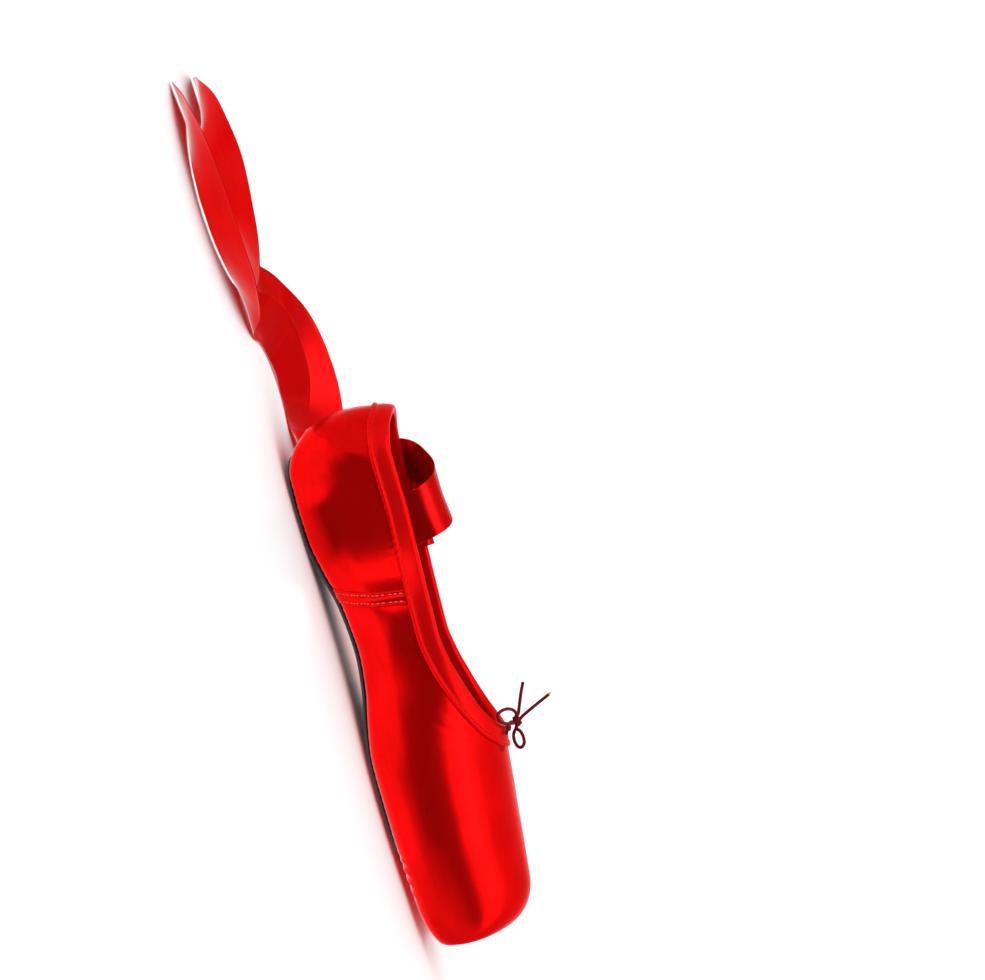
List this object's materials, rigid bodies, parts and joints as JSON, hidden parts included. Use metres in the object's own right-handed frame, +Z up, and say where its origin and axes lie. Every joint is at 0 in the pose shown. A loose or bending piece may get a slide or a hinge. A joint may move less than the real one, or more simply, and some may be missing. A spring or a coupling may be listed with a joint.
{
  "type": "ballet shoe",
  "caption": "Pointe shoe with a hollow satin upper, stiffened toe box with a flat platform, thin leather sole, drawstring collar and loose ribbon ties.",
  "frame": {"origin": "on the floor under the middle of the shoe's length, without its ribbons and cord", "axes": "+X from heel to toe, +Y to the shoe's left, +Z up from the floor"},
  "size_m": [0.4037, 0.1567, 0.0833],
  "materials": {
    "satin": "glossy red satin",
    "binding_satin": "red satin casing tape",
    "ribbon_satin": "glossy red satin ribbon",
    "cord": "dark red braided cord",
    "sole_leather": "dark suede leather",
    "insole_lining": "natural cotton over board"
  },
  "bodies": {
    "root": {"upper": "satin", "outsole": "sole_leather", "insole": "insole_lining", "binding": "binding_satin", "side_seam_left": "satin", "side_seam_right": "satin", "ribbon_left": "ribbon_satin", "ribbon_right": "ribbon_satin", "drawstring_knot": "cord", "drawstring_strand_left": "cord", "drawstring_strand_right": "cord", "drawstring_loop_front": "cord", "drawstring_loop_back": "cord", "drawstring_end_long": "cord", "drawstring_end_short": "cord"}
  },
  "joints": []
}
